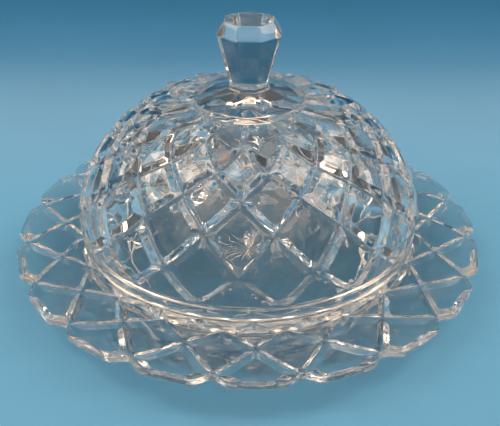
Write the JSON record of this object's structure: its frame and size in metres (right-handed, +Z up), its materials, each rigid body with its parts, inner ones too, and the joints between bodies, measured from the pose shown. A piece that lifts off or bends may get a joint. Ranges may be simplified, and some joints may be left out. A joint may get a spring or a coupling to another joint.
{
  "type": "covered butter dish",
  "caption": "Round clear pressed-glass dish: a low scalloped plate with raised diamond blocks underneath and a matching domed cover with a faceted knob that lifts off.",
  "frame": {"origin": "centre of the plate's foot, on the surface that the dish stands on", "axes": "+Z up along the dish's axis through the knob; -Y is the front"},
  "size_m": [0.176, 0.176, 0.0947],
  "materials": {
    "plate_glass": "clear pressed glass, fire-polished",
    "cover_glass": "clear pressed glass, fire-polished"
  },
  "bodies": {
    "plate": {"plate": "plate_glass"},
    "cover": {"cover": "cover_glass"}
  },
  "joints": [
    {"name": "cover_lift", "type": "slide", "parent": "plate", "child": "cover", "axis": [0, 0, 1], "range_m": [0, 0.12]}
  ]
}
